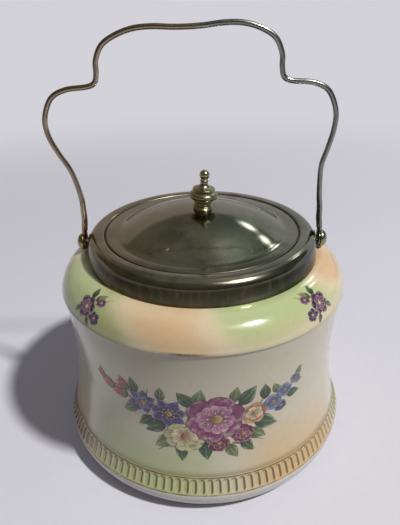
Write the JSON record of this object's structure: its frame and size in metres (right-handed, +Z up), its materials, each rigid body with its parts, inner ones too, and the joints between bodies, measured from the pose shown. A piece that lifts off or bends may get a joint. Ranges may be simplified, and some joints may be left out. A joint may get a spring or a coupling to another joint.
{
  "type": "biscuit jar",
  "caption": "Waisted pottery biscuit jar with a plated rim collar, a lift-off domed lid with a turned finial, and a bent wire bail handle on two pivot studs.",
  "frame": {"origin": "middle of the foot, in the plane of the foot ring", "axes": "+Z up the jar's axis; the bail's pivot axis runs along X; the front, with the flower spray, faces -Y"},
  "size_m": [0.1526, 0.1526, 0.207],
  "materials": {
    "glazed_pottery": "glossy cream glaze with soft green and peach ground colours and a small flower spray",
    "plaster": "matt cast plaster",
    "plated_sheet": "tarnished nickel-silver plate, worn and lightly brushed round",
    "turned_brass": "plated brass worn through to a dull yellow",
    "bail_wire": "darkened drawn wire with copper-coloured wear near its eyes"
  },
  "bodies": {
    "jar": {"jar_body": "glazed_pottery", "cement_bed": "plaster", "rim_collar": "plated_sheet", "left_lug": "plated_sheet", "right_lug": "plated_sheet", "left_stud": "turned_brass", "right_stud": "turned_brass", "left_stud_nut": "turned_brass", "right_stud_nut": "turned_brass"},
    "bail": {"bail_handle": "bail_wire"},
    "lid": {"lid_cover": "plated_sheet", "lid_skirt": "plated_sheet", "finial_base": "turned_brass", "finial_knob": "turned_brass", "finial_washer": "turned_brass", "finial_nut": "turned_brass"}
  },
  "joints": [
    {"name": "bail_swing", "type": "hinge", "parent": "jar", "child": "bail", "pos_m": [0, 0, 0.1068], "axis": [1, 0, 0], "range_deg": [-98, 98]},
    {"name": "lid_lift", "type": "slide", "parent": "jar", "child": "lid", "axis": [0, 0, 1], "range_m": [0, 0.055]}
  ]
}
